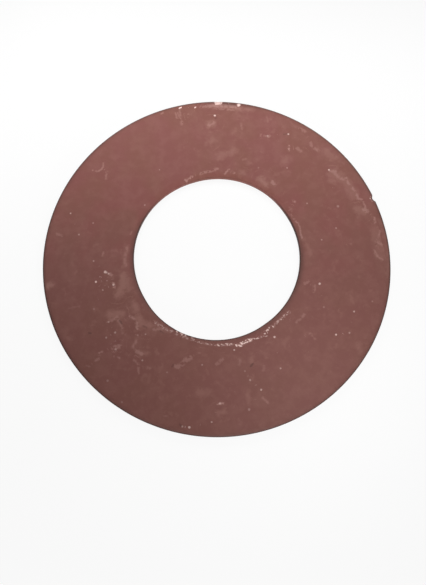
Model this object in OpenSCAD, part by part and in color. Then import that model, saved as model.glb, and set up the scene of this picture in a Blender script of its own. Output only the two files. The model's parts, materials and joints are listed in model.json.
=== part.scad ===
// Flat steel shaft washer, blanked and pierced from sheet in one stroke.
// Both cut edges are rolled over on the upper face and break out a little wider on the lower face.

/* [Ring] */
// Diameter of the rim
rim_d = 80; // [70:0.5:120]
// Diameter of the bore, which clears a 38 mm shaft
bore_d = 38.5; // [20:0.5:60]
// Thickness of the sheet
thickness = 1.5; // [1.2:0.1:6]

/* [Bore edge] */
// How far the rolled edge reaches from the bore into the upper face
bore_roll_w = 1.8; // [0.8:0.05:2.4]
// How far the rolled edge drops below the upper face at the bore
bore_roll_h = 0.35; // [0.2:0.05:0.7]
// How much the bore widens on the lower face, where the sheet broke away
bore_break_w = 0.08; // [0.02:0.01:0.3]
// Height of the broken part of the bore's wall
bore_break_h = 0.4; // [0.2:0.05:0.8]

/* [Rim edge] */
// How far the rolled edge reaches from the rim into the upper face
rim_roll_w = 1; // [0.7:0.05:2]
// How far the rolled edge drops below the upper face at the rim
rim_roll_h = 0.3; // [0.2:0.05:0.6]
// How much the rim draws in on the lower face, where the sheet broke away
rim_break_w = 0.08; // [0.02:0.01:0.3]
// Height of the broken part of the rim's wall
rim_break_h = 0.5; // [0.2:0.05:0.8]

/* [Nick in the rim] */
// Where the nick lies round the rim, in degrees from +X
nick_turn = 20.5; // [0:0.5:359.5]
// Width of the nick along the rim
nick_w = 1.6; // [0.8:0.1:4]
// Depth of the nick into the rim
nick_depth = 0.4; // [0.2:0.05:0.8]

/* [Hidden] */
rim_r = rim_d / 2;
bore_r = bore_d / 2;
ring_w = rim_r - bore_r;
// How far each cutting shape runs past the surface that it cuts
spare = 0.5;
coat_colour = [0.50, 0.34, 0.31];
$fn = 180;

// Radius of an arc that leaves a face level and drops by h over a width of w
function roll_radius(w, h) = (w * w + h * h) / (2 * h);

// Waste above a rolled edge: the wall stands at x = 0, the sheet lies on +X and its face is at y = 0
module roll_waste(w, h) {
    r = roll_radius(w, h);
    difference() {
        translate([-spare, -r]) square([w + spare, r + spare]);
        translate([w, -r]) circle(r);
    }
}

// Waste beside a broken edge: the wall stands at x = 0, the sheet lies on +X and its face is at y = 0
module break_waste(w, h) {
    polygon([[0, h], [w, 0], [w, -spare], [-spare, -spare], [-spare, h]]);
}

// One cut edge of the sheet, rolled over above and broken out below
module edge_waste(roll_w, roll_h, break_w, break_h) {
    translate([0, thickness]) roll_waste(roll_w, roll_h);
    break_waste(break_w, break_h);
}

// Section of the ring on the +X side of the axis
module ring_section() {
    difference() {
        translate([bore_r, 0]) square([ring_w, thickness]);
        translate([bore_r, 0]) edge_waste(bore_roll_w, bore_roll_h, bore_break_w, bore_break_h);
        translate([rim_r, 0]) mirror([1, 0]) edge_waste(rim_roll_w, rim_roll_h, rim_break_w, rim_break_h);
    }
}

// Round-bottomed knock in the rim, through the whole thickness
module rim_nick() {
    r = roll_radius(nick_w / 2, nick_depth);
    rotate([0, 0, nick_turn])
        translate([rim_r - nick_depth + r, 0, -spare])
            cylinder(r = r, h = thickness + 2 * spare);
}

// The whole washer, lying on its lower face with the bore on the Z axis
module shaft_washer() {
    color(coat_colour)
        difference() {
            rotate_extrude() ring_section();
            rim_nick();
        }
}

shaft_washer();
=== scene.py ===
"""Dresses the shaft washer: one sheared steel ring under a red-brown coat, rubbed, chipped and dusty.

Geometry Nodes revolve the ring from its section and tell each point of it where the nearest mark lies.
The coat's material turns that into chips, scuffs and grit. A mark is placed by its turn in degrees from +X
and its distance from the axis in millimetres.
"""
import json
import logging
import math
import random
from collections.abc import Iterator
from dataclasses import dataclass
from enum import Enum

import bpy
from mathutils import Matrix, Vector


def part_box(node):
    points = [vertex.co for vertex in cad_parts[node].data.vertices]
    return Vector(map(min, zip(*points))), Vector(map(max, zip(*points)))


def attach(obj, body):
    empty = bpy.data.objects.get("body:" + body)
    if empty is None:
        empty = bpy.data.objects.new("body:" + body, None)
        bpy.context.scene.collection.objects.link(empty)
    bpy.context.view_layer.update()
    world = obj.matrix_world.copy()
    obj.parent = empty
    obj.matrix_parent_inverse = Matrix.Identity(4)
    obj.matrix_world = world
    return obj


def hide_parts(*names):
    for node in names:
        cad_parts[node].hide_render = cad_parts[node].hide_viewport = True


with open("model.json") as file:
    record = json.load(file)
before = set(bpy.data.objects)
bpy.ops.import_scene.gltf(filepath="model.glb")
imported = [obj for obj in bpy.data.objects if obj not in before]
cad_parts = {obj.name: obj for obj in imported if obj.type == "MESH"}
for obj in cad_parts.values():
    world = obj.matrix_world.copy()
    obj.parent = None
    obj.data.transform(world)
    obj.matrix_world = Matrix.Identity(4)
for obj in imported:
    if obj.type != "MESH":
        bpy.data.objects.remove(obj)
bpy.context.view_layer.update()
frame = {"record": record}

LOG = logging.getLogger("shaft_washer")
MM = 0.001
FULL_TURN = 360
WHITE = (1.0, 1.0, 1.0, 1.0)
NODE = "shaft_washer"
BODY = "root"
SECTION_RADIUS = "section_radius"

Colour = tuple[float, float, float]
Point = tuple[float, float, float]
Place = tuple[float, float]
Spot = tuple[float, float, float, float]
Socket = bpy.types.NodeSocket


class Family(Enum):
    """The families of marks that the coat carries."""

    CHIP = "chip"
    SCUFF = "scuff"
    RUB = "rub"
    HANDLING = "handling"
    # Painted shade on the rolled edges, with some grime
    GRIME = "grime"
    GRIT = "grit"
    PIT = "pit"


@dataclass(frozen=True)
class Stroke:
    """One mark along a path of (turn, distance from the axis) points, with its width in millimetres.

    A strength above 1 closes the gaps that the family's marks have.
    """

    path: tuple[Place, ...]
    width: float
    strength: float = 1.0

    def spots(self) -> list[Spot]:
        """Lists the path's points with the stroke's width and strength."""
        return [(turn, out, self.width, self.strength) for turn, out in self.path]


@dataclass(frozen=True)
class Trail:
    """Small marks strewn along a line between two places, to both sides of it, with sizes in millimetres.

    The last three fields are the least and the greatest share that one mark takes of a size.
    """

    start: Place
    end: Place
    count: int
    spread: float
    length: float
    width: float
    strength: float
    slant: float = math.pi
    length_shares: Place = (0.2, 1.0)
    width_shares: Place = (0.6, 1.2)
    strength_shares: Place = (0.5, 1.1)

    def strokes(self, draw: random.Random) -> Iterator[Stroke]:
        """Draws the marks, each with its own place, heading, size and strength.

        Args:
            draw: The source of random numbers.

        Yields:
            One short stroke for each mark.
        """
        for mark in range(self.count):
            share = (mark + draw.random()) / self.count
            turn = self.start[0] + share * (self.end[0] - self.start[0])
            out = self.start[1] + share * (self.end[1] - self.start[1])
            out += draw.uniform(-0.5, 0.5) * self.spread
            heading = draw.uniform(-self.slant, self.slant)
            half = draw.uniform(*self.length_shares) * self.length / 2
            along = math.degrees(half * math.cos(heading) / out)
            across = half * math.sin(heading)
            path = ((turn - along, out - across), (turn + along, out + across))
            width = self.width * draw.uniform(*self.width_shares)
            yield Stroke(path, width, self.strength * draw.uniform(*self.strength_shares))


@dataclass(frozen=True)
class Speck:
    """One grain of grit, by its turn, its distance from the axis and its width in millimetres."""

    turn: float
    out: float
    width: float
    strength: float = 0.25

    def spots(self) -> list[Spot]:
        """Lists the grain's one point with its width and strength."""
        return [(self.turn, self.out, self.width, self.strength)]


@dataclass(frozen=True)
class Band:
    """A mark all the way round at one distance from the axis, with its strength at rising turns from 0."""

    out: float
    width: float
    strengths: tuple[Place, ...]
    step: int = 3

    def spots(self) -> list[Spot]:
        """Lists points round the band, with even changes of strength between the given turns.

        Returns:
            The points, the last one at the place of the first.
        """
        keys = (*self.strengths, (FULL_TURN, self.strengths[0][1]))
        spots = []
        for turn in range(0, FULL_TURN + 1, self.step):
            before, after = next(pair for pair in zip(keys, keys[1:]) if turn <= pair[1][0])
            share = (turn - before[0]) / (after[0] - before[0])
            strength = before[1] + share * (after[1] - before[1])
            spots.append((float(turn), self.out, self.width, strength))
        return spots


@dataclass(frozen=True)
class Knock:
    """A place where a wall was pushed towards the axis, or away from it where push is negative."""

    turn: float
    radius: float
    width: float
    push: float


# Coat broken away to bare steel, on the crest of the rolled edges
CHIPS = (
    Stroke(((88.4, 39.6), (89.3, 39.75), (90.3, 39.7)), 0.7, 1.5),
    Stroke(((88.5, 39.3), (90.2, 39.2)), 0.45, 1.2),
    Stroke(((81.6, 39.4), (82.0, 39.1)), 0.55, 1.4),
    Stroke(((81.9, 39.7), (82.3, 39.5)), 0.35, 1.2),
    Stroke(((97.7, 38.6), (98.0, 38.5)), 0.25, 1.3),
    Stroke(((103.1, 39.2), (103.7, 39.1)), 0.4, 1.3),
    Stroke(((19.8, 39.15), (21.3, 39.15)), 0.45, 0.7),
    Stroke(((229.0, 20.8), (232.0, 20.7), (236.0, 20.6), (239.5, 20.4)), 0.6, 0.35),
    Stroke(((241.5, 19.7), (246.0, 19.75), (251.0, 19.8)), 0.6, 0.7),
    Stroke(((241.5, 20.1), (246.0, 20.2), (250.0, 20.1), (255.0, 20.1)), 0.9, 0.28),
    Stroke(((256.5, 20.2), (260.5, 20.5)), 0.5, 0.5),
    Stroke(((262.0, 20.5), (266.0, 20.6), (270.0, 20.7)), 0.4, 0.4),
    Stroke(((270.0, 20.7), (274.0, 20.7), (278.8, 20.75)), 0.6, 0.7),
    Stroke(((282.0, 21.2), (284.6, 21.4)), 0.7, 1.03),
    Stroke(((284.6, 21.1), (287.0, 20.9), (290.4, 20.9)), 0.7, 1.05),
    Stroke(((291.5, 21.0), (294.0, 21.1), (297.0, 21.2)), 0.5, 0.7),
    Stroke(((297.5, 21.3), (301.5, 21.5)), 0.7, 0.85),
    Stroke(((299.0, 20.9), (303.0, 20.7), (307.0, 20.7)), 0.7, 0.75),
    Stroke(((307.5, 20.7), (312.5, 20.6)), 0.6, 0.45),
    Stroke(((313.8, 20.9), (315.8, 20.7)), 0.6, 0.75),
    Stroke(((318.3, 20.8), (320.3, 21.0)), 0.6, 0.5),
)

# Fine scuffs and scratches, where the coat is scored but not through
SCUFFS = (
    # Rim, right and upper right
    Stroke(((358.2, 38.2), (359.3, 37.0), (361.5, 36.4)), 0.45, 0.4),
    Stroke(((3.5, 38.2), (5.0, 37.2)), 0.7, 0.4),
    Stroke(((6.0, 37.8), (9.0, 38.6)), 0.4, 0.4),
    Stroke(((11.3, 37.9), (13.7, 38.1)), 0.45, 0.5),
    Stroke(((16.5, 37.1), (17.5, 36.4)), 0.8, 0.5),
    Stroke(((18.2, 37.0), (20.6, 37.0)), 0.45, 0.5),
    Stroke(((21.5, 37.0), (22.5, 36.2)), 0.4, 0.5),
    Stroke(((22.5, 36.4), (26.0, 36.4), (29.5, 36.2), (31.5, 36.5)), 0.5, 0.5),
    Stroke(((31.5, 36.0), (33.0, 35.2), (35.5, 35.0)), 0.8, 0.38),
    Stroke(((36.0, 35.4), (37.5, 34.4)), 0.6, 0.45),
    Stroke(((46.5, 36.2), (49.5, 36.0), (51.0, 36.6)), 0.7, 0.35),
    Stroke(((52.0, 33.2), (54.0, 33.4)), 0.8, 0.35),
    Stroke(((56.3, 31.6), (57.3, 32.8)), 0.35, 0.9),
    Stroke(((67.0, 32.8), (68.0, 32.7)), 0.7, 0.5),
    # Rim, top
    Stroke(((83.5, 37.7), (90.0, 37.8)), 0.4, 0.4),
    Stroke(((91.5, 34.0), (93.0, 33.4)), 1.0, 0.35),
    Stroke(((92.0, 38.5), (96.0, 38.5)), 0.6, 0.4),
    Stroke(((101.0, 36.9), (101.3, 36.3)), 0.4, 0.4),
    Stroke(((103.8, 38.6), (104.3, 36.2)), 0.5, 0.35),
    Stroke(((104.2, 35.2), (104.4, 34.6)), 0.7, 0.35),
    Stroke(((105.5, 38.0), (105.7, 36.6)), 0.35, 0.4),
    # Bore, right and top
    Stroke(((10.5, 20.2), (15.0, 20.2), (20.0, 20.5), (24.0, 20.2), (28.0, 20.0), (32.0, 20.3)),
           0.35, 0.6),
    Stroke(((31.9, 20.9), (33.9, 20.7)), 0.4, 0.25),
    Stroke(((35.0, 22.6), (36.0, 22.4)), 0.5, 0.8),
    Stroke(((51.5, 22.1), (53.5, 22.5)), 0.9, 0.5),
    Stroke(((77.5, 20.9), (78.5, 20.8)), 0.5, 0.5),
    Stroke(((82.0, 21.5), (83.5, 20.8), (84.5, 20.2)), 0.45, 0.6),
    Stroke(((89.5, 21.5), (92.0, 21.1)), 0.7, 0.45),
    Stroke(((94.0, 20.8), (98.0, 20.8), (101.5, 20.6)), 0.6, 0.5),
    Stroke(((107.0, 20.2), (110.0, 19.9), (112.0, 19.8)), 0.7, 0.8),
    # Small marks of the face, right and top
    Stroke(((4.7, 30.3), (4.7, 31.3)), 0.4, 0.25),
    Stroke(((55.4, 38.3), (57.4, 38.3)), 0.8, 0.35),
    Stroke(((69.5, 36.5), (70.7, 37.7)), 0.4, 0.18),
    Stroke(((70.2, 31.6), (70.4, 32.6)), 0.4, 0.28),
    Stroke(((73.6, 25.1), (75.0, 24.7)), 0.5, 0.20),
    Stroke(((78.9, 32.8), (79.9, 34.2)), 0.5, 0.22),
    Stroke(((82.8, 38.6), (87.0, 38.7), (91.5, 38.7)), 0.8, 0.6),
    Stroke(((109.8, 39.1), (110.6, 38.9)), 0.4, 0.6),
    # Left
    Stroke(((164.8, 20.6), (167.6, 20.6)), 0.35, 0.3),
    Stroke(((175.5, 20.8), (179.0, 20.9), (183.0, 21.2), (187.0, 21.0)), 0.6, 0.3),
    Stroke(((178.8, 26.1), (180.8, 26.3)), 0.35, 0.35),
    Stroke(((140.0, 35.7), (141.8, 35.0), (144.0, 35.4), (144.8, 36.5)), 0.35, 0.5),
    Stroke(((142.0, 33.6), (144.5, 32.6)), 0.5, 0.35),
    Stroke(((172.4, 37.4), (172.8, 36.4)), 0.6, 0.28),
    Stroke(((177.8, 24.3), (178.0, 23.2)), 0.6, 0.14),
    Stroke(((190.8, 24.9), (191.5, 24.5)), 0.6, 0.6),
    Stroke(((196.3, 24.4), (198.5, 24.4)), 0.5, 0.9),
    Stroke(((200.7, 35.4), (201.5, 32.9)), 0.25, 0.2),
    # Lower left
    Stroke(((212.5, 28.8), (213.3, 27.6), (213.0, 26.5)), 0.5, 0.42),
    Stroke(((214.5, 26.7), (219.0, 27.0)), 0.5, 0.36),
    Stroke(((216.5, 24.1), (219.3, 23.7)), 0.5, 0.6),
    Stroke(((221.0, 34.1), (221.4, 33.5)), 0.35, 0.6),
    Stroke(((222.0, 23.9), (224.0, 24.6)), 0.5, 0.6),
    Stroke(((222.3, 35.8), (222.6, 34.9)), 0.5, 0.4),
    Stroke(((223.0, 31.2), (224.5, 30.0)), 0.9, 0.5),
    Stroke(((226.0, 32.2), (227.8, 31.7)), 0.35, 0.5),
    Stroke(((229.0, 28.0), (228.0, 26.6)), 0.6, 0.4),
    Stroke(((231.0, 22.3), (234.0, 21.2), (237.0, 20.6)), 0.6, 0.4),
    Stroke(((231.5, 28.2), (234.0, 28.0)), 0.8, 0.45),
    Stroke(((233.0, 30.0), (235.5, 30.2), (237.5, 31.8)), 0.45, 0.36),
    Stroke(((220.8, 27.6), (222.0, 27.4)), 0.5, 0.22),
    Stroke(((221.7, 37.9), (222.5, 37.5)), 0.3, 0.25),
    Stroke(((239.2, 29.8), (240.3, 29.6)), 0.5, 0.25),
    # Bottom and lower right
    Stroke(((252.6, 37.3), (253.6, 37.3)), 0.35, 0.22),
    Stroke(((259.0, 22.9), (260.6, 22.7)), 0.35, 0.2),
    Stroke(((270.0, 24.8), (272.8, 23.8)), 0.7, 0.3),
    Stroke(((281.0, 25.4), (281.8, 24.4)), 0.6, 0.22),
    Stroke(((291.0, 28.0), (292.0, 27.2)), 0.6, 0.2),
    Stroke(((250.8, 26.8), (252.5, 26.4), (254.0, 25.0), (256.0, 24.2)), 1.0, 0.38),
    Stroke(((270.3, 33.15), (272.2, 33.1)), 0.4, 0.9),
    Stroke(((287.0, 33.4), (288.2, 34.6)), 0.5, 0.35),
    Stroke(((318.0, 29.0), (319.0, 28.4), (318.3, 27.4)), 0.5, 0.3),
    Stroke(((318.5, 23.7), (321.0, 23.7), (324.5, 24.0)), 0.6, 0.35),
    Stroke(((338.5, 23.6), (341.5, 23.3)), 0.6, 0.35),
    Stroke(((341.0, 21.1), (343.0, 21.8)), 0.6, 0.35),
    # Crest of the bore's rolled edge
    Stroke(((228.0, 20.8), (234.0, 20.7), (240.0, 20.4)), 0.6, 0.4),
    Stroke(((260.0, 20.5), (268.0, 20.6), (275.0, 20.8), (280.0, 20.8)), 0.5, 0.4),
    Stroke(((283.0, 21.3), (288.0, 21.0), (291.0, 20.9)), 0.8, 0.4),
    Stroke(((307.0, 20.8), (312.0, 20.6), (316.0, 20.7)), 0.7, 0.3),
)

# Broad pale patches, rubbed dull or dusty
RUBS = (
    Stroke(((0.0, 37.5), (9.0, 37.5)), 2.4, 0.28),
    Stroke(((-7.0, 39.5), (0.0, 39.5), (12.0, 39.4)), 0.8, 0.4),
    Stroke(((17.0, 36.0), (18.5, 35.0)), 1.6, 0.5),
    Stroke(((24.0, 35.8), (31.0, 35.6), (36.0, 34.4)), 2.4, 0.4),
    Stroke(((33.0, 33.8), (34.0, 33.0)), 1.4, 0.4),
    Stroke(((41.0, 37.2), (44.0, 37.3)), 2.0, 0.4),
    Stroke(((55.0, 29.6), (55.0, 28.4)), 1.6, 0.35),
    Stroke(((77.0, 38.6), (80.5, 38.4)), 0.9, 0.6),
    Stroke(((81.0, 38.3), (86.5, 38.6), (92.5, 38.7)), 1.1, 0.8),
    Stroke(((81.0, 26.8), (82.0, 26.0)), 1.4, 0.45),
    Stroke(((86.5, 25.3), (88.0, 24.8)), 1.8, 0.45),
    Stroke(((92.0, 29.4), (93.0, 28.7)), 1.3, 0.35),
    Stroke(((91.4, 33.9), (92.9, 33.5)), 1.6, 0.55),
    Stroke(((56.0, 20.9), (58.5, 21.3), (60.5, 21.5)), 1.5, 0.75),
    Stroke(((73.0, 21.5), (74.5, 20.9)), 1.1, 0.45),
    Stroke(((0.0, 21.6), (5.0, 21.1), (10.0, 20.5)), 0.6, 0.4),
    Stroke(((70.3, 24.4), (71.3, 24.2)), 0.8, 0.35),
    Stroke(((81.5, 32.2), (82.3, 31.8)), 0.9, 0.4),
    Stroke(((175.0, 21.0), (181.0, 21.1), (187.5, 21.2)), 1.0, 0.35),
    Stroke(((207.0, 38.3), (207.6, 37.9)), 0.5, 0.3),
    Stroke(((210.0, 38.3), (211.0, 37.7)), 0.8, 0.4),
    Stroke(((191.0, 38.9), (191.0, 38.3)), 1.2, 0.85),
    Stroke(((194.5, 21.9), (198.0, 22.3), (201.0, 23.2), (202.5, 24.0)), 1.8, 0.7),
    Stroke(((196.5, 21.4), (202.0, 21.5)), 1.2, 0.6),
    Stroke(((210.4, 27.6), (211.6, 26.5), (212.8, 25.3)), 1.5, 0.65),
    Stroke(((212.0, 22.0), (215.5, 22.3)), 1.4, 0.6),
    Stroke(((220.5, 22.8), (224.0, 23.2), (227.5, 22.2)), 1.4, 0.6),
    Stroke(((234.0, 27.9), (235.5, 27.3)), 0.9, 0.45),
    Stroke(((263.0, 31.0), (266.0, 31.0)), 1.6, 0.35),
    Stroke(((270.8, 35.2), (272.6, 34.9)), 1.0, 0.5),
    Stroke(((281.5, 33.8), (282.0, 31.2)), 0.8, 0.35),
    Stroke(((287.0, 25.5), (288.5, 24.4)), 0.9, 0.4),
    Stroke(((306.0, 25.0), (309.0, 24.8)), 1.0, 0.3),
    Stroke(((324.8, 38.4), (326.5, 37.6)), 0.7, 0.35),
)

# Faint marks of handling, strewn over the face and thinnest on its clean upper left
HANDLING = (
    Trail((-20.0, 31.0), (70.0, 31.0), 30, 16.0, 1.8, 0.7, 0.22),
    Trail((70.0, 30.0), (110.0, 30.0), 10, 17.0, 1.6, 0.8, 0.18),
    Trail((165.0, 29.0), (205.0, 29.0), 14, 16.0, 1.2, 0.6, 0.20),
    Trail((205.0, 27.0), (245.0, 27.0), 30, 12.0, 1.4, 0.7, 0.26),
    Trail((245.0, 30.0), (340.0, 30.0), 34, 16.0, 1.5, 0.6, 0.20),
)

# Dark bands along the edges of the bore and the rim: painted shade on the rolled edges, with some grime,
# its strength given turn by turn
SHADE_AND_GRIME_BANDS = (
    Band(19.3, 1.0, (
        (0.0, 0.70), (20.0, 0.25), (40.0, 0.02), (120.0, 0.02), (140.0, 0.15), (160.0, 0.55),
        (180.0, 0.85), (205.0, 0.50), (240.0, 0.35), (265.0, 0.35), (290.0, 0.45), (320.0, 0.40),
        (345.0, 0.80),
    )),
    Stroke(((83.0, 39.45), (87.6, 39.5)), 0.7, 0.75),
    Stroke(((74.0, 39.6), (80.8, 39.55)), 0.5, 0.6),
    Stroke(((90.7, 39.6), (93.2, 39.6)), 0.5, 0.6),
    Band(39.95, 0.9, (
        (0.0, 0.05), (20.0, 0.60), (45.0, 0.50), (65.0, 0.30), (75.0, 0.60), (80.0, 0.60),
        (86.0, 0.95), (88.0, 0.10), (91.0, 0.10), (93.0, 0.60), (98.0, 0.20), (110.0, 0.35),
        (125.0, 0.65), (140.0, 0.75), (165.0, 0.35), (185.0, 0.05), (210.0, 0.30), (230.0, 0.45),
        (260.0, 0.65), (320.0, 0.65), (345.0, 0.50),
    )),
)

# Pale grains stuck to the coat
GRIT = (
    Speck(8.3, 24.6, 0.4), Speck(13.0, 28.6, 0.4), Speck(22.5, 31.0, 0.6, 0.2), Speck(30.5, 24.8, 0.4),
    Speck(38.1, 34.4, 0.35, 1.0), Speck(52.0, 27.6, 0.35, 0.3), Speck(60.2, 35.5, 0.4, 0.7),
    Speck(67.6, 32.8, 0.45, 0.3), Speck(90.7, 35.9, 0.5, 1.0), Speck(123.0, 25.3, 0.3),
    Speck(144.5, 20.9, 0.4),
    Speck(163.7, 35.8, 0.35, 0.5), Speck(165.2, 29.9, 0.35), Speck(171.5, 32.4, 0.4, 0.3),
    Speck(183.2, 28.3, 0.4, 0.3), Speck(189.3, 25.8, 0.6, 0.75), Speck(190.5, 25.1, 0.4, 0.5),
    Speck(193.3, 28.2, 0.45, 0.9), Speck(194.0, 25.7, 0.3), Speck(197.0, 24.5, 0.45, 0.65),
    Speck(198.0, 27.1, 0.35, 0.35), Speck(213.0, 28.7, 0.4), Speck(218.0, 31.0, 0.4, 0.3),
    Speck(218.6, 28.8, 0.45, 0.35), Speck(224.3, 31.0, 0.45, 0.3), Speck(229.3, 24.2, 0.35),
    Speck(259.0, 38.5, 0.4, 0.3), Speck(261.2, 38.4, 0.5, 0.7), Speck(262.6, 25.2, 0.35),
    Speck(268.2, 36.9, 0.35, 0.4), Speck(271.0, 33.1, 0.4, 0.4), Speck(279.8, 22.1, 0.35, 0.6),
    Speck(284.2, 29.1, 0.45, 0.3), Speck(287.4, 31.7, 0.4, 0.5), Speck(298.2, 29.2, 0.35, 0.4),
    Speck(303.8, 22.8, 0.45, 0.7), Speck(325.0, 32.1, 0.4, 0.8), Speck(328.4, 34.4, 0.4, 0.3),
    Speck(336.6, 33.4, 0.4, 0.5), Speck(343.5, 24.3, 0.5, 0.65),
    Speck(65.2, 24.0, 0.4, 0.12), Speck(204.8, 30.3, 0.4, 0.15), Speck(235.9, 29.0, 0.4, 0.3),
    Speck(247.8, 28.7, 0.35, 0.15), Speck(342.6, 36.6, 0.35, 0.15),
    Speck(226.7, 25.5, 0.4, 0.15), Speck(230.2, 36.9, 0.5, 0.15), Speck(238.2, 38.6, 0.4, 0.15),
    Speck(281.2, 35.0, 0.5, 0.2), Speck(282.9, 27.0, 0.4, 0.15), Speck(332.9, 26.9, 0.4, 0.15),
)

# Small dark pits
PITS = (
    Stroke(((215.4, 26.5), (217.0, 26.5)), 0.4, 0.45),
    Stroke(((225.4, 23.2), (227.2, 23.0)), 0.4, 0.3),
    Stroke(((234.4, 21.6), (236.8, 21.6)), 0.35, 0.35),
    Stroke(((249.0, 27.2), (249.2, 26.6)), 0.35, 0.35),
    Stroke(((286.3, 26.3), (287.3, 26.0)), 0.45, 0.55),
    Stroke(((212.6, 33.5), (213.0, 33.3)), 0.4, 0.5),
    Stroke(((258.2, 38.2), (258.6, 38.4)), 0.4, 0.4),
    Stroke(((60.9, 35.3), (61.7, 34.9)), 0.3, 0.35),
    Stroke(((90.2, 35.2), (90.5, 35.1)), 0.35, 0.35),
)

MARKS = {
    Family.CHIP: CHIPS,
    Family.SCUFF: SCUFFS,
    Family.RUB: RUBS,
    Family.HANDLING: HANDLING,
    Family.GRIME: SHADE_AND_GRIME_BANDS,
    Family.GRIT: GRIT,
    Family.PIT: PITS,
}
TRAIL_SEED = 11


@dataclass(frozen=True)
class MarkLook:
    """How ragged, how fine, how soft at the edge and how broken up a family's marks are.

    Raggedness and softness are in millimetres, and the grain is in features to a millimetre.
    """

    raggedness: float
    grain: float
    softness: float
    breakup: float = 0.0


LOOKS = {
    Family.CHIP: MarkLook(0.50, 3.4, 0.08, 0.9),
    Family.SCUFF: MarkLook(0.90, 2.0, 0.22, 0.65),
    Family.RUB: MarkLook(2.20, 1.1, 0.75, 0.45),
    Family.HANDLING: MarkLook(1.20, 1.8, 0.30, 0.7),
    Family.GRIME: MarkLook(0.50, 0.7, 0.80),
    Family.GRIT: MarkLook(0.20, 4.0, 0.08),
    Family.PIT: MarkLook(0.40, 3.0, 0.12),
}


@dataclass(frozen=True)
class Ease:
    """A smooth change from low to high while another value goes from start to end."""

    start: Socket | float
    end: Socket | float
    low: float = 0.0
    high: float = 1.0


@dataclass(frozen=True)
class Noise:
    """Smooth noise between 0 and 1, with its scale as features to a unit of the place."""

    scale: Socket | float
    detail: float = 2.0
    roughness: float = 0.5


# Numbers of the Mix node's sockets, several of which share a name
MIX_SHARE = 0
MIX_NUMBERS = (2, 3)
MIX_COLOURS = (6, 7)
MIXED_NUMBER = 0
MIXED_COLOUR = 2


class Graph:
    """Adds nodes to one node tree and joins them."""

    def __init__(self, tree: bpy.types.NodeTree) -> None:
        """Keeps the tree that the nodes go into."""
        self.tree = tree

    def add(self, kind: str, inputs: dict | None = None, **settings: object) -> bpy.types.Node:
        """Adds one node.

        Args:
            kind: The node's type.
            inputs: Plain values or other nodes' outputs, by the input's name or number.
            **settings: The node's own properties, such as its operation.

        Returns:
            The new node.
        """
        node = self.tree.nodes.new(kind)
        for name, value in settings.items():
            setattr(node, name, value)
        for key, value in (inputs or {}).items():
            if isinstance(value, Socket):
                self.tree.links.new(value, node.inputs[key])
            else:
                node.inputs[key].default_value = value
        return node

    def math(self, operation: str, *terms: Socket | float) -> Socket:
        """Works out one number from others with a Math node."""
        return self.add("ShaderNodeMath", dict(enumerate(terms)), operation=operation).outputs[0]

    def vector(self, operation: str, *terms: object, output: str = "Vector") -> Socket:
        """Works out one vector, or one number from vectors, with a Vector Math node."""
        return self.add("ShaderNodeVectorMath", dict(enumerate(terms)), operation=operation).outputs[output]

    def scaled(self, vector: Socket, factor: Socket | float) -> Socket:
        """Stretches a vector by a factor."""
        return self.add("ShaderNodeVectorMath", {0: vector, "Scale": factor}, operation="SCALE").outputs[0]

    def ramp(self, value: Socket, ease: Ease) -> Socket:
        """Eases from low to high with a value.

        Args:
            value: The value that drives the change.
            ease: The limits of the value and of the result.

        Returns:
            The eased value.
        """
        limits = {"Value": value, "From Min": ease.start, "From Max": ease.end}
        limits |= {"To Min": ease.low, "To Max": ease.high}
        return self.add("ShaderNodeMapRange", limits, interpolation_type="SMOOTHSTEP").outputs["Result"]

    def noise(self, place: Socket, noise: Noise) -> Socket:
        """Gives the noise at a place.

        Args:
            place: Where the noise is read.
            noise: The noise's scale, detail and roughness.

        Returns:
            The noise's value.
        """
        values = {"Vector": place, "Scale": noise.scale}
        values |= {"Detail": noise.detail, "Roughness": noise.roughness}
        return self.add("ShaderNodeTexNoise", values).outputs[0]

    def blend(self, share: Socket, first: Socket | Colour, second: Socket | Colour) -> Socket:
        """Mixes two colours.

        Args:
            share: How much of the second colour shows.
            first: The colour where the share is 0.
            second: The colour where the share is 1.

        Returns:
            The mixed colour.
        """
        inputs = {MIX_SHARE: share}
        for key, colour in zip(MIX_COLOURS, (first, second)):
            inputs[key] = colour if isinstance(colour, Socket) else (*colour, 1.0)
        return self.add("ShaderNodeMix", inputs, data_type="RGBA").outputs[MIXED_COLOUR]

    def between(self, share: Socket, first: Socket | float, second: Socket | float) -> Socket:
        """Mixes two numbers by a share of the second."""
        inputs = {MIX_SHARE: share, **dict(zip(MIX_NUMBERS, (first, second)))}
        return self.add("ShaderNodeMix", inputs, data_type="FLOAT").outputs[MIXED_NUMBER]


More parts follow.
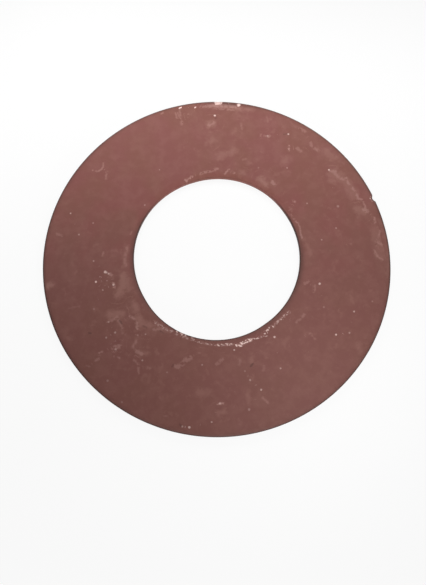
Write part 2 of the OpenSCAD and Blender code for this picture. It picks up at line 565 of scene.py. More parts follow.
class GeometryGraph(Graph):
    """Adds the nodes that read, store and move a geometry's points."""

    def position(self) -> Socket:
        """Reads each point's place in metres."""
        return self.add("GeometryNodeInputPosition").outputs[0]

    def named(self, name: str, kind: str = "FLOAT") -> Socket:
        """Reads a stored value by its name."""
        return self.add("GeometryNodeInputNamedAttribute", {"Name": name}, data_type=kind).outputs[0]

    def geometry_of(self, piece: Socket) -> Socket:
        """Reads the geometry of another object."""
        return self.add("GeometryNodeObjectInfo", {"Object": piece}).outputs["Geometry"]

    def nearest(self, geometry: Socket, place: Socket) -> Socket:
        """Finds the number of the geometry's point that lies nearest to a place."""
        inputs = {"Geometry": geometry, "Sample Position": place}
        return self.add("GeometryNodeSampleNearest", inputs).outputs[0]

    def sample(self, geometry: Socket, value: Socket, index: Socket, kind: str = "FLOAT") -> Socket:
        """Reads a value at one numbered point of a geometry."""
        inputs = {"Geometry": geometry, "Value": value, "Index": index}
        return self.add("GeometryNodeSampleIndex", inputs, data_type=kind).outputs[0]

    def store(self, geometry: Socket, name: str, value: Socket, kind: str = "FLOAT") -> Socket:
        """Stores a value under a name at each point of a geometry.

        Args:
            geometry: The geometry that gets the value.
            name: The attribute's name.
            value: The value at each point.
            kind: The value's data type.

        Returns:
            The geometry with the attribute.
        """
        inputs = {"Geometry": geometry, "Name": name, "Value": value}
        node = self.add("GeometryNodeStoreNamedAttribute", inputs, data_type=kind, domain="POINT")
        return node.outputs[0]

    def shifted(self, geometry: Socket, way: Socket, distance: Socket) -> Socket:
        """Moves each point of a geometry by a distance along a unit vector."""
        inputs = {"Geometry": geometry, "Offset": self.scaled(way, distance)}
        return self.add("GeometryNodeSetPosition", inputs).outputs[0]

    def held(self, geometry: Socket, kind: str, value: Socket) -> tuple[Socket, Socket]:
        """Captures a value on a geometry before the geometry changes.

        Args:
            geometry: The geometry that carries the value.
            kind: The value's data type.
            value: The value to capture at each point.

        Returns:
            The geometry and the captured value.
        """
        node = self.add("GeometryNodeCaptureAttribute", {0: geometry})
        node.capture_items.new(kind, "Held")
        self.tree.links.new(value, node.inputs["Held"])
        return node.outputs[0], node.outputs["Held"]


@dataclass
class CutEdge:
    """One cut edge of the sheet: rolled over above, sheared in the middle and broken out below.

    Sizes are in millimetres. Side is 1 where the sheet lies outside the wall and -1 where it lies inside.
    """

    radius: float
    side: float
    roll_width: float
    roll_drop: float
    break_width: float
    break_height: float
    lip: float = 0.12
    roll_steps: int = 9
    wall_shares: tuple[float, ...] = (0.12, 0.5, 0.88)
    lip_steps: int = 4

    @property
    def roll_radius(self) -> float:
        """Radius of the arc that leaves the face level and drops over the rolled edge's width."""
        return (self.roll_width**2 + self.roll_drop**2) / (2 * self.roll_drop)

    @property
    def crest(self) -> float:
        """Distance from the axis at which the flat face ends and the rolled edge starts."""
        return self.radius + self.side * self.roll_width

    def drop(self, out: float) -> float:
        """How far the upper surface lies below the flat face at a distance from the axis."""
        run = min(max(self.side * (self.crest - out), 0.0), self.roll_width)
        return self.roll_radius - math.sqrt(self.roll_radius**2 - run**2)

    def profile(self, thickness: float) -> list[Place]:
        """Lists the edge's section from the upper face down to the lower one.

        Args:
            thickness: The sheet's thickness.

        Returns:
            Points as distance from the axis and height above the lower face.
        """
        points = []
        sweep = math.asin(self.roll_width / self.roll_radius)
        for step in range(self.roll_steps + 1):
            angle = sweep * step / self.roll_steps
            out = self.crest - self.side * self.roll_radius * math.sin(angle)
            points.append((out, thickness - self.roll_radius * (1 - math.cos(angle))))
        wall_top = thickness - self.roll_drop
        for share in self.wall_shares:
            points.append((self.radius, wall_top + share * (self.break_height - wall_top)))
        points.append((self.radius, self.break_height))
        centre = self.radius + self.side * (self.break_width + self.lip)
        for step in range(self.lip_steps + 1):
            angle = math.pi / 2 * step / self.lip_steps
            out = centre - self.side * self.lip * math.cos(angle)
            points.append((out, self.lip * (1 - math.sin(angle))))
        return points


@dataclass
class RingSection:
    """The ring's section between its bore and its rim, in millimetres."""

    bore: CutEdge
    rim: CutEdge
    thickness: float
    face_rows: int = 60
    underside_rows: int = 10

    def height(self, out: float) -> float:
        """Height of the upper surface at a distance from the axis."""
        return self.thickness - max(self.bore.drop(out), self.rim.drop(out))

    def outline(self) -> list[Place]:
        """Lists the closed section, from the bore's crest outwards and back along the lower face.

        Returns:
            Points as distance from the axis and height above the lower face.
        """
        bore = self.bore.profile(self.thickness)
        rim = self.rim.profile(self.thickness)
        face = self._between(bore[0], rim[0], self.face_rows)
        underside = self._between(rim[-1], bore[-1], self.underside_rows)
        return [bore[0], *face, *rim, *underside, *bore[:0:-1]]

    @staticmethod
    def _between(start: Place, end: Place, count: int) -> list[Place]:
        """Divides a level run into a count of even rows and lists the points between its ends."""
        step = (end[0] - start[0]) / count
        return [(start[0] + step * row, start[1]) for row in range(1, count)]


@dataclass(frozen=True)
class CoatFinish:
    """The red-brown coat and what shows where it is rubbed, scuffed, dirty or gone, with painted shade
    along its edges and a painted sheen over its near half.

    Colours are in linear light. Eases go by millimetres, or by a noise between 0 and 1.
    """

    # The coat's own tones, and what lies on it or under it
    red: Colour = (0.2220, 0.0775, 0.0680)
    brown: Colour = (0.2150, 0.0815, 0.0635)
    # The greyer tone of the painted sheen over the near half
    sheen_veil_tone: Colour = (0.2035, 0.0885, 0.0755)
    rubbed: Colour = (0.330, 0.164, 0.137)
    scored: Colour = (0.430, 0.235, 0.205)
    grit: Colour = (0.800, 0.580, 0.530)
    # The dark colour of the painted shade along the edges, of the grime and of the pits
    grime: Colour = (0.070, 0.034, 0.029)
    steel: Colour = (0.720, 0.520, 0.475)
    coat_roughness: float = 0.55
    worn_roughness: float = 0.70
    steel_roughness: float = 0.40
    steel_metallic: float = 0.4
    specular: float = 0.14

    # Drift between the tones, and the painted sheen: a greyer tone over the half at -Y that stands in for a
    # veil of reflected light
    tone_noise: Noise = Noise(0.12, 3.0)
    tone: Ease = Ease(0.35, 0.65)
    fade: Ease = Ease(-8.0, 18.0, 0.65, 0.0)
    sheen_veil_wander: float = 8.0

    # Pale clouds, dust and fine dust
    cloud_noise: Noise = Noise(0.4, 3.0, 0.6)
    cloud: Ease = Ease(0.38, 0.70, 0.0, 0.16)
    dust_noise: Noise = Noise(0.9, 4.0, 0.62)
    dust: Ease = Ease(0.54, 0.74, 0.0, 0.16)
    fine_noise: Noise = Noise(3.5, 2.0, 0.6)
    fine: Ease = Ease(0.62, 0.78, 0.0, 0.14)

    # Dust shows away from one clean spot of the upper face, and all over the lower face
    clean_spot: Point = (-22.0, 21.0, 1.5)
    handled: Ease = Ease(10.0, 24.0, 0.2, 1.0)
    handled_below: Ease = Ease(0.05, 0.20, 2.0, 0.0)

    # Painted shade: the dark line along each edge, weaker on the bore at +Y where that edge catches more
    # light, and the darker foot of the walls where they meet the floor
    bore_edge_shade: Ease = Ease(0.05, 0.38, 1.0, 0.0)
    bore_shade_weaker_far: Ease = Ease(7.0, 16.0, 1.0, 0.15)
    rim_edge_shade: Ease = Ease(0.05, 0.52, 1.0, 0.0)
    wall: Ease = Ease(0.02, 0.12, 1.0, 0.0)
    shaded_foot: Ease = Ease(0.15, 0.55, 0.6, 0.0)

    # Bump: the peel of the coat and, as multiples of its height, the marks and the streaks of the walls
    bump_height: float = 0.016
    peel_noise: Noise = Noise(2.2, 3.0)
    scuff_height: float = -0.5
    grit_height: float = 1.5
    chip_height: float = -1.8
    streak_height: float = 3.0
    streak_noise: Noise = Noise(5.0, 3.0, 0.65)
    streak_stretch: float = 0.06

    def material(self, bore: float, rim: float) -> bpy.types.Material:
        """Builds the coat's material.

        Args:
            bore: The bore's radius in millimetres.
            rim: The rim's radius in millimetres.

        Returns:
            The material, which reads Object coordinates and the ring's attributes.
        """
        material = bpy.data.materials.new("red_brown_coat")
        material.use_nodes = True
        material.node_tree.nodes.clear()
        CoatNodes(self, material.node_tree, bore, rim).join()
        return material


class CoatNodes:
    """The nodes of the coat's material, laid out from the finish's values."""

    def __init__(self, finish: CoatFinish, tree: bpy.types.NodeTree, bore: float, rim: float) -> None:
        """Reads where a surface point lies and which marks are near it.

        Args:
            finish: The coat's values.
            tree: The material's node tree.
            bore: The bore's radius in millimetres.
            rim: The rim's radius in millimetres.
        """
        self.finish = finish
        self.graph = Graph(tree)
        here = self.graph.add("ShaderNodeTexCoord").outputs["Object"]
        self.place = self.graph.scaled(here, 1 / MM)
        self.part = self.graph.add("ShaderNodeSeparateXYZ", {"Vector": self.place}).outputs
        out = self.graph.add("ShaderNodeAttribute", attribute_name=SECTION_RADIUS).outputs["Fac"]
        self.from_bore = self.graph.math("SUBTRACT", out, bore)
        self.from_rim = self.graph.math("SUBTRACT", rim, out)
        inset = self.graph.math("MINIMUM", self.from_bore, self.from_rim)
        self.wall = self.graph.ramp(inset, finish.wall)
        group = ragged_mark_group()
        self.marks = {family: self._mark(group, family) for family in Family}

    def join(self) -> None:
        """Joins the colour, the roughness, the bare metal and the bump to the surface."""
        values = {
            "Base Color": self._colour(),
            "Roughness": self._roughness(),
            "Metallic": self.graph.math("MULTIPLY", self.marks[Family.CHIP], self.finish.steel_metallic),
            "Normal": self._bump(),
            "Specular IOR Level": self.finish.specular,
        }
        surface = self.graph.add("ShaderNodeBsdfPrincipled", values)
        self.graph.add("ShaderNodeOutputMaterial", {"Surface": surface.outputs["BSDF"]})

    def _mark(self, group: bpy.types.NodeTree, family: Family) -> Socket:
        """Places the ragged mark group for one family of marks.

        Args:
            group: The ragged mark group.
            family: The family whose attributes and look are read.

        Returns:
            The family's mask.
        """
        look = LOOKS[family]
        inputs = {"Place": self.place, "Raggedness": look.raggedness, "Grain": look.grain}
        inputs |= {"Softness": look.softness, "Breakup": look.breakup}
        for part, output in (("near", "Vector"), ("width", "Fac"), ("strength", "Fac")):
            attribute = self.graph.add("ShaderNodeAttribute", attribute_name=f"{family.value}_{part}")
            inputs[part.capitalize()] = attribute.outputs[output]
        return self.graph.add("ShaderNodeGroup", inputs, node_tree=group).outputs["Mask"]

    def _patches(self, noise: Noise, ease: Ease) -> Socket:
        """Masks the soft patches of one noise."""
        return self.graph.ramp(self.graph.noise(self.place, noise), ease)

    def _handled(self) -> Socket:
        """Tells how much dust shows at a point.

        Returns:
            The share of the dust, above 1 on the lower face.
        """
        away = self.graph.vector("DISTANCE", self.place, self.finish.clean_spot, output="Value")
        below = self.graph.ramp(self.part["Z"], self.finish.handled_below)
        return self.graph.math("MAXIMUM", self.graph.ramp(away, self.finish.handled), below)

    def _shade_and_dirt(self) -> Socket:
        """Masks the painted shade along each edge and at the foot of the walls, the dark bands of the
        edges, which are painted shade with some grime, and the pits.

        Returns:
            The mask of the painted shade, the grime and the pits.
        """
        graph, finish = self.graph, self.finish
        # Painted shade: a dark line along each edge, weaker on the bore's far side at +Y, where that edge
        # catches more light
        kept = graph.ramp(self.part["Y"], finish.bore_shade_weaker_far)
        line = graph.math("MULTIPLY", graph.ramp(self.from_bore, finish.bore_edge_shade), kept)
        line = graph.math("MAXIMUM", line, graph.ramp(self.from_rim, finish.rim_edge_shade))
        # Painted shade at the foot of the walls, where they meet the floor
        shaded_foot = graph.math("MULTIPLY", graph.ramp(self.part["Z"], finish.shaded_foot), self.wall)
        marked = graph.math("MAXIMUM", self.marks[Family.GRIME], self.marks[Family.PIT])
        return graph.math("MAXIMUM", marked, graph.math("MAXIMUM", line, shaded_foot))

    def _colour(self) -> Socket:
        """Lays the coat's tones, the painted sheen of its near half, its dust, its marks and the painted
        shade of its edges over each other, from the lowest layer up.

        Returns:
            The surface's colour.
        """
        graph, finish, marks = self.graph, self.finish, self.marks
        tone = self._patches(finish.tone_noise, finish.tone)
        wander = graph.math("SUBTRACT", tone, 0.5)
        nearness = graph.math("MULTIPLY_ADD", wander, finish.sheen_veil_wander, self.part["Y"])
        handled = self._handled()
        dust = graph.math("MULTIPLY", self._patches(finish.dust_noise, finish.dust), handled)
        fine = graph.math("MULTIPLY", self._patches(finish.fine_noise, finish.fine), handled)
        layers = (
            # Painted sheen: the greyer tone over the half at -Y
            (graph.ramp(nearness, finish.fade), finish.sheen_veil_tone),
            (self._patches(finish.cloud_noise, finish.cloud), finish.rubbed),
            (dust, finish.rubbed),
            (marks[Family.HANDLING], finish.rubbed),
            (marks[Family.RUB], finish.rubbed),
            (fine, finish.rubbed),
            (marks[Family.SCUFF], finish.scored),
            # Painted shade along the edges and at the foot of the walls, with the grime and the pits
            (self._shade_and_dirt(), finish.grime),
            (marks[Family.GRIT], finish.grit),
            (marks[Family.CHIP], finish.steel),
        )
        colour = graph.blend(tone, finish.brown, finish.red)
        for share, layer in layers:
            colour = graph.blend(share, colour, layer)
        return colour

    def _roughness(self) -> Socket:
        """Mixes the roughness of the coat, of its worn places and of bare steel.

        Returns:
            The surface's roughness.
        """
        graph, finish, marks = self.graph, self.finish, self.marks
        worn = graph.math("MAXIMUM", marks[Family.RUB], marks[Family.SCUFF])
        worn = graph.math("MAXIMUM", worn, marks[Family.GRIT])
        coat = graph.between(worn, finish.coat_roughness, finish.worn_roughness)
        return graph.between(marks[Family.CHIP], coat, finish.steel_roughness)

    def _bump(self) -> Socket:
        """Gives the normal over the coat's peel, its marks and the upright streaks of the walls.

        Returns:
            The bumped normal.
        """
        graph, finish = self.graph, self.finish
        rise = graph.math("MULTIPLY", self.part["Z"], finish.streak_stretch)
        drawn = graph.add("ShaderNodeCombineXYZ", {"X": self.part["X"], "Y": self.part["Y"], "Z": rise})
        streak = graph.math("MULTIPLY", self.wall, graph.noise(drawn.outputs[0], finish.streak_noise))
        steps = (
            (self.marks[Family.SCUFF], finish.scuff_height),
            (self.marks[Family.GRIT], finish.grit_height),
            (self.marks[Family.CHIP], finish.chip_height),
            (streak, finish.streak_height),
        )
        height = graph.noise(self.place, finish.peel_noise)
        for mask, step in steps:
            height = graph.math("MULTIPLY_ADD", mask, step, height)
        inputs = {"Strength": 1.0, "Distance": finish.bump_height * MM, "Height": height}
        return graph.add("ShaderNodeBump", inputs).outputs["Normal"]


# The ragged marks: noise of their edge, size and depth of their gaps, and how softly a gap ends
EDGE_DETAIL = 3.0
EDGE_ROUGHNESS = 0.6
GAP_GRAIN = 0.6
GAP_DEPTH = -0.55
GAP_END = Ease(0.0, 0.12)


def ragged_mark_group() -> bpy.types.NodeTree:
    """Builds the shader group that turns the nearest mark's place and width into a ragged mask.

    Returns:
        The group, with a mark's place, width, strength and look as inputs and its mask as output.
    """
    tree = bpy.data.node_groups.new("ragged_mark", "ShaderNodeTree")
    for name in ("Place", "Near"):
        tree.interface.new_socket(name, in_out="INPUT", socket_type="NodeSocketVector")
    for name in ("Width", "Strength", "Raggedness", "Grain", "Softness", "Breakup"):
        tree.interface.new_socket(name, in_out="INPUT", socket_type="NodeSocketFloat")
    tree.interface.new_socket("Mask", in_out="OUTPUT", socket_type="NodeSocketFloat")
    graph = Graph(tree)
    given = graph.add("NodeGroupInput").outputs
    gap = graph.vector("DISTANCE", given["Place"], given["Near"], output="Value")
    reach = graph.math("SUBTRACT", graph.math("MULTIPLY", given["Width"], 0.5), gap)
    rough = graph.noise(given["Place"], Noise(given["Grain"], EDGE_DETAIL, EDGE_ROUGHNESS))
    rough = graph.math("SUBTRACT", rough, 0.5)
    reach = graph.math("MULTIPLY_ADD", rough, given["Raggedness"], reach)
    outside = graph.math("MULTIPLY", given["Softness"], -1.0)
    edge = graph.ramp(reach, Ease(outside, given["Softness"]))
    gaps = graph.noise(given["Place"], Noise(graph.math("MULTIPLY", given["Grain"], GAP_GRAIN)))
    gaps = graph.math("MULTIPLY_ADD", given["Breakup"], GAP_DEPTH, gaps)
    whole = graph.math("MAXIMUM", graph.math("SUBTRACT", given["Strength"], 1.0), 0.0)
    kept = graph.ramp(graph.math("ADD", gaps, whole), GAP_END)
    share = graph.math("MINIMUM", given["Strength"], 1.0)
    mask = graph.math("MULTIPLY", graph.math("MULTIPLY", edge, share), kept)
    graph.add("NodeGroupOutput", {"Mask": mask})
    return tree


@dataclass
class WasherRing:
    """The whole washer: the sheared ring, its knocks and the marks on its coat."""

    section: RingSection
    finish: CoatFinish
    knocks: tuple[Knock, ...]
    columns: int = 840
    mark_step: float = 0.06
    ripple: float = 0.012
    ripple_noise: Noise = Noise(0.5)
    chip_depth: float = 0.04
    chip_edge: Ease = Ease(-0.1, 0.1)
    name: str = "washer_ring"

    def build(self) -> bpy.types.Object:
        """Makes the ring's mesh from its section.

        Returns:
            The ring as a plain mesh object at the origin.
        """
        helpers = {
            "Section": self._section_object(),
            "Knocks": self._knock_object(),
            **{family.value.capitalize(): self._mark_object(family) for family in Family},
        }
        values = helpers | {
            "Columns": self.columns,
            "Mark step": self.mark_step * MM,
            "Ripple": self.ripple * MM,
            "Chip depth": self.chip_depth * MM,
            "Coat": self.finish.material(self.section.bore.radius, self.section.rim.radius),
        }
        ring = mesh_object(self.name, [], [])
        tree = self._tree(list(helpers))
        modifier = ring.modifiers.new("revolve", "NODES")
        modifier.node_group = tree
        for item in tree.interface.items_tree:
            if item.name in values:
                modifier[item.identifier] = values[item.name]
        settle(ring)
        for helper in helpers.values():
            bpy.data.meshes.remove(helper.data)
        return ring

    def dress(self, ring: bpy.types.Object) -> None:
        """Puts the finished ring in the place of its CAD node.

        Args:
            ring: The ring's mesh object.
        """
        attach(ring, BODY)
        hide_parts(NODE)
        LOG.info("%s: %d faces", ring.name, len(ring.data.polygons))

    def point(self, turn: float, out: float) -> Vector:
        """Finds a point of the upper surface.

        Args:
            turn: Degrees from +X.
            out: The distance from the axis in millimetres.

        Returns:
            The point in metres.
        """
        angle = math.radians(turn)
        flat = Vector((out * math.cos(angle), out * math.sin(angle), self.section.height(out)))
        return flat * MM

    def _section_object(self) -> bpy.types.Object:
        """Makes the section as a closed line in the XZ plane.

        Returns:
            The line as a mesh object.
        """
        points = [Vector((out, 0.0, up)) * MM for out, up in self.section.outline()]
        count = len(points)
        edges = [(row, (row + 1) % count) for row in range(count)]
        return mesh_object("ring_section", points, edges)

    def _knock_object(self) -> bpy.types.Object:
        """Makes one point for each knock, level with the lower face.

        Returns:
            The points as a mesh object, with each knock's width and push in metres.
        """
        points = []
        for knock in self.knocks:
            angle = math.radians(knock.turn)
            points.append(Vector((math.cos(angle), math.sin(angle), 0.0)) * knock.radius * MM)
        values = {
            "width": [knock.width * MM for knock in self.knocks],
            "push": [knock.push * MM for knock in self.knocks],
        }
        return mesh_object("knocks", points, [], values)

    def _mark_object(self, family: Family) -> bpy.types.Object:
        """Makes the paths or points of one family of marks.

        Args:
            family: The family of marks.

        Returns:
            A mesh object with a width and a strength at each point.
        """
        points, edges, widths, strengths = [], [], [], []
        for mark in single_marks(family):
            spots = mark.spots()
            edges += [(at, at + 1) for at in range(len(points), len(points) + len(spots) - 1)]
            points += [self.point(turn, out) for turn, out, _, _ in spots]
            widths += [width for _, _, width, _ in spots]
            strengths += [strength for _, _, _, strength in spots]
        values = {"width": widths, "strength": strengths}
        return mesh_object(f"{family.value}_paths", points, edges, values)

    def _tree(self, helpers: list[str]) -> bpy.types.NodeTree:
        """Builds the tree that revolves the section and stores the marks.

        Args:
            helpers: Names of the inputs that take objects.

        Returns:
            The Geometry Nodes tree.
        """
        tree = bpy.data.node_groups.new("revolved_ring", "GeometryNodeTree")
        kinds = {name: "NodeSocketObject" for name in helpers}
        kinds |= {"Columns": "NodeSocketInt", "Coat": "NodeSocketMaterial"}
        kinds |= {name: "NodeSocketFloat" for name in ("Mark step", "Ripple", "Chip depth")}
        tree.interface.new_socket("Geometry", in_out="OUTPUT", socket_type="NodeSocketGeometry")
        for name, kind in kinds.items():
            tree.interface.new_socket(name, in_out="INPUT", socket_type=kind)
        graph = GeometryGraph(tree)
        given = graph.add("NodeGroupInput").outputs
        ring = self._revolve(graph, graph.geometry_of(given["Section"]), given["Columns"])
        ring = self._knock(graph, ring, graph.geometry_of(given["Knocks"]))
        for family in Family:
            paths = graph.geometry_of(given[family.value.capitalize()])
            points = self._path_points(graph, paths, family, given["Mark step"])
            ring = self._store_marks(graph, ring, points, family)
        ring = self._weather(graph, ring, given["Chip depth"], given["Ripple"])
        smooth = graph.add("GeometryNodeSetShadeSmooth", {0: ring}).outputs[0]
        real = graph.add("GeometryNodeRealizeInstances", {"Geometry": smooth}).outputs[0]
        coated = graph.add("GeometryNodeSetMaterial", {"Geometry": real, "Material": given["Coat"]})
        graph.add("NodeGroupOutput", {"Geometry": coated.outputs[0]})
        return tree

    @staticmethod
    def _revolve(graph: GeometryGraph, section: Socket, columns: Socket) -> Socket:
        """Turns the section once round the Z axis and stores each point's radius in the section.

        Args:
            graph: The ring's nodes.
            section: The section as a closed line in the XZ plane.
            columns: How many copies of the section stand round the axis.

        Returns:
            The ring's mesh.
        """
        line = graph.add("GeometryNodeMeshToCurve", {"Mesh": section}).outputs["Curve"]
        profile, place = graph.held(line, "VECTOR", graph.position())
        circle = graph.add("GeometryNodeCurvePrimitiveCircle", {"Resolution": columns}).outputs["Curve"]
        rail, column = graph.held(circle, "INT", graph.add("GeometryNodeInputIndex").outputs[0])
        swept = graph.add("GeometryNodeCurveToMesh", {"Curve": rail, "Profile Curve": profile})
        angle = graph.math("MULTIPLY", graph.math("DIVIDE", column, columns), math.tau)
        part = graph.add("ShaderNodeSeparateXYZ", {0: place}).outputs
        across = graph.math("MULTIPLY", part["X"], graph.math("COSINE", angle))
        along = graph.math("MULTIPLY", part["X"], graph.math("SINE", angle))
        turned = graph.add("ShaderNodeCombineXYZ", {"X": across, "Y": along, "Z": part["Z"]}).outputs[0]
        ring = graph.add("GeometryNodeSetPosition", {"Geometry": swept.outputs[0], "Position": turned})
        return graph.store(ring.outputs[0], SECTION_RADIUS, graph.math("DIVIDE", part["X"], MM))

    @staticmethod
    def _knock(graph: GeometryGraph, ring: Socket, knocks: Socket) -> Socket:
        """Pushes the walls in or out at each knock, through the whole thickness.

        Args:
            graph: The ring's nodes.
            ring: The ring's mesh.
            knocks: One point for each knock.

        Returns:
            The knocked ring.
        """
        here = graph.position()
        level = graph.vector("MULTIPLY", here, (1.0, 1.0, 0.0))
        nearest = graph.nearest(knocks, level)
        centre = graph.sample(knocks, here, nearest, "FLOAT_VECTOR")
        width = graph.sample(knocks, graph.named("width"), nearest)
        push = graph.sample(knocks, graph.named("push"), nearest)
        gap = graph.vector("DISTANCE", level, centre, output="Value")
        share = graph.math("DIVIDE", graph.math("MULTIPLY", gap, 2.0), width)
        hollow = graph.math("SUBTRACT", 1.0, graph.math("MULTIPLY", share, share))
        hollow = graph.math("MAXIMUM", hollow, 0.0)
        distance = graph.math("MULTIPLY", hollow, graph.math("MULTIPLY", push, -1.0))
        return graph.shifted(ring, graph.vector("NORMALIZE", level), distance)

    @staticmethod
    def _path_points(graph: GeometryGraph, paths: Socket, family: Family, step: Socket) -> Socket:
        """Turns a family's paths into close points, or keeps its single points.

        Args:
            graph: The ring's nodes.
            paths: The family's paths or points.
            family: The family of marks.
            step: The distance between points along a path.

        Returns:
            The points, with their widths and strengths.
        """
        if family is Family.GRIT:
            return paths
        curve = graph.add("GeometryNodeMeshToCurve", {"Mesh": paths}).outputs["Curve"]
        eased = graph.add("GeometryNodeCurveSplineType", {"Curve": curve}, spline_type="CATMULL_ROM")
        inputs = {"Curve": eased.outputs[0], "Length": step}
        return graph.add("GeometryNodeCurveToPoints", inputs, mode="LENGTH").outputs["Points"]

    @staticmethod
    def _store_marks(graph: GeometryGraph, ring: Socket, points: Socket, family: Family) -> Socket:
        """Stores where the family's nearest mark lies, in millimetres, and how wide and strong it is.

        Args:
            graph: The ring's nodes.
            ring: The ring's mesh.
            points: The points of the family's marks.
            family: The family of marks.

        Returns:
            The ring with the family's attributes.
        """
        here = graph.position()
        nearest = graph.nearest(points, here)
        values = {
            "near": ("FLOAT_VECTOR", graph.scaled(here, 1 / MM)),
            "width": ("FLOAT", graph.named("width")),
            "strength": ("FLOAT", graph.named("strength")),
        }
        for name, (kind, value) in values.items():
            sampled = graph.sample(points, value, nearest, kind)
            ring = graph.store(ring, f"{family.value}_{name}", sampled, kind)
        return ring

    def _weather(self, graph: GeometryGraph, ring: Socket, depth: Socket, ripple: Socket) -> Socket:
        """Sinks the chips below the coat and gives the coat its slight ripple.

        Args:
            graph: The ring's nodes.
            ring: The ring's mesh.
            depth: How deep a chip lies.
            ripple: How deep the coat's ripple goes.

        Returns:
            The weathered ring.
        """
        place = graph.scaled(graph.position(), 1 / MM)
        near = graph.named(f"{Family.CHIP.value}_near", "FLOAT_VECTOR")
        half = graph.math("MULTIPLY", graph.named(f"{Family.CHIP.value}_width"), 0.5)
        gap = graph.vector("DISTANCE", place, near, output="Value")
        sunk = graph.ramp(graph.math("SUBTRACT", half, gap), self.chip_edge)
        sunk = graph.math("MULTIPLY", sunk, depth)
        wave = graph.math("MULTIPLY", graph.noise(place, self.ripple_noise), ripple)
        distance = graph.math("MULTIPLY", graph.math("ADD", sunk, wave), -1.0)
        return graph.shifted(ring, graph.add("GeometryNodeInputNormal").outputs[0], distance)


def single_marks(family: Family) -> Iterator[Stroke | Speck | Band]:
    """Lists a family's marks one by one, with each trail drawn out into its strokes.

    Args:
        family: The family of marks.

    Yields:
        The marks in the order of their table.
    """
    draw = random.Random(TRAIL_SEED)
    for mark in MARKS[family]:
        if isinstance(mark, Trail):
            yield from mark.strokes(draw)
        else:
            yield mark


def mesh_object(name: str, points: list, edges: list, values: dict | None = None) -> bpy.types.Object:
    """Makes a mesh object of points and edges.

    Args:
        name: The object's name.
        points: The vertices, in metres.
        edges: Pairs of vertex numbers.
        values: Numbers to store at the points, by attribute name.

    Returns:
        The object, linked to the scene.
    """
    mesh = bpy.data.meshes.new(name)
    mesh.from_pydata(points, edges, [])
    for attribute, numbers in (values or {}).items():
        mesh.attributes.new(attribute, "FLOAT", "POINT").data.foreach_set("value", numbers)
    piece = bpy.data.objects.new(name, mesh)
    bpy.context.scene.collection.objects.link(piece)
    return piece


def settle(piece: bpy.types.Object) -> None:
    """Replaces an object's modifiers by the plain mesh that they make.

    Args:
        piece: The object with the modifiers.
    """
    graph = bpy.context.evaluated_depsgraph_get()
    mesh = bpy.data.meshes.new_from_object(piece.evaluated_get(graph), depsgraph=graph)
    mesh.name = piece.name
    piece.modifiers.clear()
    piece.data = mesh


@dataclass(frozen=True)
class Lamp:
    """A soft lamp: its place, width and depth in millimetres and its power in watts."""

    name: str
    place: Point
    size: Place
    watts: float

    def build(self, target: Vector) -> None:
        """Hangs the lamp.

        Args:
            target: The point that the lamp faces, in metres.
        """
        data = bpy.data.lights.new(self.name, "AREA")
        data.shape = "RECTANGLE"
        data.size = self.size[0] * MM
        data.size_y = self.size[1] * MM
        data.energy = self.watts
        lamp = bpy.data.objects.new(self.name, data)
        lamp.location = Vector(self.place) * MM
        lamp.rotation_euler = (target - lamp.location).to_track_quat("-Z", "Y").to_euler()
        lamp.visible_camera = False
        bpy.context.scene.collection.objects.link(lamp)


@dataclass(frozen=True)
class PhotoCamera:
    """The camera that took the photograph, close above the near half of the washer.

    Its place is in millimetres, its tilt and roll are in degrees.
    """

    place: Point = (-1.05, -26.36, 87.74)
    tilt: float = 11.42
    roll: float = -0.11
    focal_pixels: float = 390.0
    long_side_pixels: float = 585.0
    sensor: float = 36.0

    def build(self) -> None:
        """Makes the camera and gives it to the scene."""
        data = bpy.data.cameras.new("photo_camera")
        data.sensor_width = self.sensor
        data.lens = self.sensor * self.focal_pixels / self.long_side_pixels
        data.clip_start = MM
        camera = bpy.data.objects.new("photo_camera", data)
        camera.location = Vector(self.place) * MM
        camera.rotation_euler = (math.radians(self.tilt), math.radians(self.roll), 0.0)
        bpy.context.scene.collection.objects.link(camera)
        bpy.context.scene.camera = camera


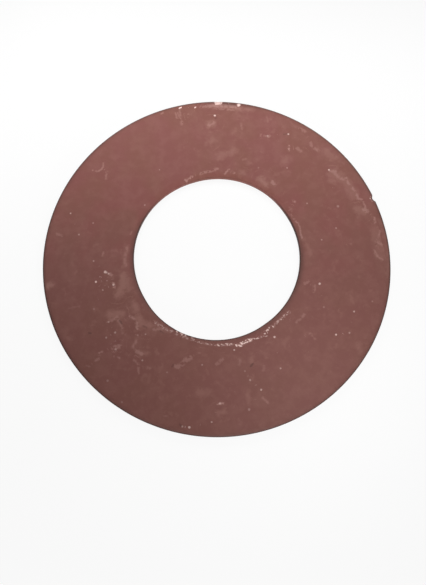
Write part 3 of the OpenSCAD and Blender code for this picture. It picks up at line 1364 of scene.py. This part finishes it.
@dataclass
class Studio:
    """The white floor, the pale surroundings and the soft lamps."""

    lamps: tuple[Lamp, ...] = (
        Lamp("far_strip", (10.0, 60.0, 50.0), (140.0, 40.0), 0.0612),
        Lamp("left_lamp", (-58.0, 40.0, 45.0), (60.0, 60.0), 0.0143),
        Lamp("near_right_lamp", (25.0, -32.0, 44.0), (40.0, 40.0), 0.0121),
        Lamp("front_lamp", (60.0, -340.0, 50.0), (160.0, 60.0), 0.91),
    )
    floor_half: float = 600.0
    floor_white: float = 0.95
    ambient: float = 0.02
    shadow_share: float = 0.09
    shadow_reach: Place = (120.0, 320.0)

    def build(self) -> None:
        """Makes the floor, the world and the lamps."""
        scene = bpy.context.scene
        scene.view_settings.view_transform = "Standard"
        self._floor()
        self._world(scene)
        for lamp in self.lamps:
            lamp.build(Vector((0.0, 0.0, 0.0)))
        LOG.info("studio: %d lamps", len(self.lamps))

    @staticmethod
    def _seen(graph: Graph) -> Socket:
        """Tells whether a ray comes from the camera, a reflection or a clear surface.

        Args:
            graph: The nodes of the floor or the world.

        Returns:
            1 for such a ray and 0 for any other.
        """
        path = graph.add("ShaderNodeLightPath").outputs
        bounced = graph.math("MAXIMUM", path["Is Glossy Ray"], path["Is Transmission Ray"])
        return graph.math("MAXIMUM", path["Is Camera Ray"], bounced)

    def _floor(self) -> None:
        """Makes the floor, which shows white and keeps the washer's shadow."""
        half = self.floor_half * MM
        mesh = bpy.data.meshes.new("floor")
        corners = [(-half, -half, 0.0), (half, -half, 0.0), (half, half, 0.0), (-half, half, 0.0)]
        mesh.from_pydata(corners, [], [(0, 1, 2, 3)])
        floor = bpy.data.objects.new("floor", mesh)
        bpy.context.scene.collection.objects.link(floor)
        material = bpy.data.materials.new("white_floor")
        material.use_nodes = True
        material.node_tree.nodes.clear()
        graph = Graph(material.node_tree)
        pale = (self.floor_white, self.floor_white, self.floor_white, 1.0)
        paper = graph.add("ShaderNodeBsdfDiffuse", {"Color": pale}).outputs[0]
        white = graph.add("ShaderNodeEmission", {"Strength": 1.0}).outputs[0]
        here = graph.add("ShaderNodeTexCoord").outputs["Object"]
        away = graph.vector("LENGTH", here, output="Value")
        near, far = (reach * MM for reach in self.shadow_reach)
        shade = graph.ramp(away, Ease(near, far, self.shadow_share, 0.0))
        shown = graph.add("ShaderNodeMixShader", {"Fac": shade, 1: white, 2: paper}).outputs[0]
        either = graph.add("ShaderNodeMixShader", {"Fac": self._seen(graph), 1: paper, 2: shown})
        graph.add("ShaderNodeOutputMaterial", {"Surface": either.outputs[0]})
        mesh.materials.append(material)

    def _world(self, scene: bpy.types.Scene) -> None:
        """Surrounds the washer with white that lights it at the ambient level.

        Args:
            scene: The scene that gets the world.
        """
        world = bpy.data.worlds.new("pale_room")
        world.use_nodes = True
        world.node_tree.nodes.clear()
        graph = Graph(world.node_tree)
        strength = graph.between(self._seen(graph), self.ambient, 1.0)
        white = graph.add("ShaderNodeBackground", {"Strength": strength, "Color": WHITE})
        graph.add("ShaderNodeOutputWorld", {"Surface": white.outputs[0]})
        scene.world = world


def ring_from_frame() -> WasherRing:
    """Sizes the ring from the CAD node's box and the record's bore.

    Returns:
        The ring, ready to build.
    """
    low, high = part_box(NODE)
    rim = (high[0] - low[0]) / 2 / MM
    mounts = {mount["name"]: mount for mount in frame["record"]["mounts"]}
    bore = mounts["shaft_bore"]["dims"]["r_mm"]
    section = RingSection(
        bore=CutEdge(bore, 1.0, roll_width=1.8, roll_drop=0.35, break_width=0.08, break_height=0.4),
        rim=CutEdge(rim, -1.0, roll_width=1.0, roll_drop=0.3, break_width=0.08, break_height=0.5),
        thickness=(high[2] - low[2]) / MM,
    )
    knocks = (
        Knock(turn=20.5, radius=rim, width=1.6, push=0.4),
        Knock(turn=258.0, radius=bore, width=30.0, push=-0.35),
        Knock(turn=70.0, radius=bore, width=24.0, push=-0.22),
    )
    return WasherRing(section, CoatFinish(), knocks)


def main() -> None:
    """Builds the camera, the studio and the washer, in that order."""
    logging.basicConfig(level=logging.INFO, format="%(name)s %(message)s")
    PhotoCamera().build()
    Studio().build()
    ring = ring_from_frame()
    ring.dress(ring.build())


if __name__ == "__main__":
    main()
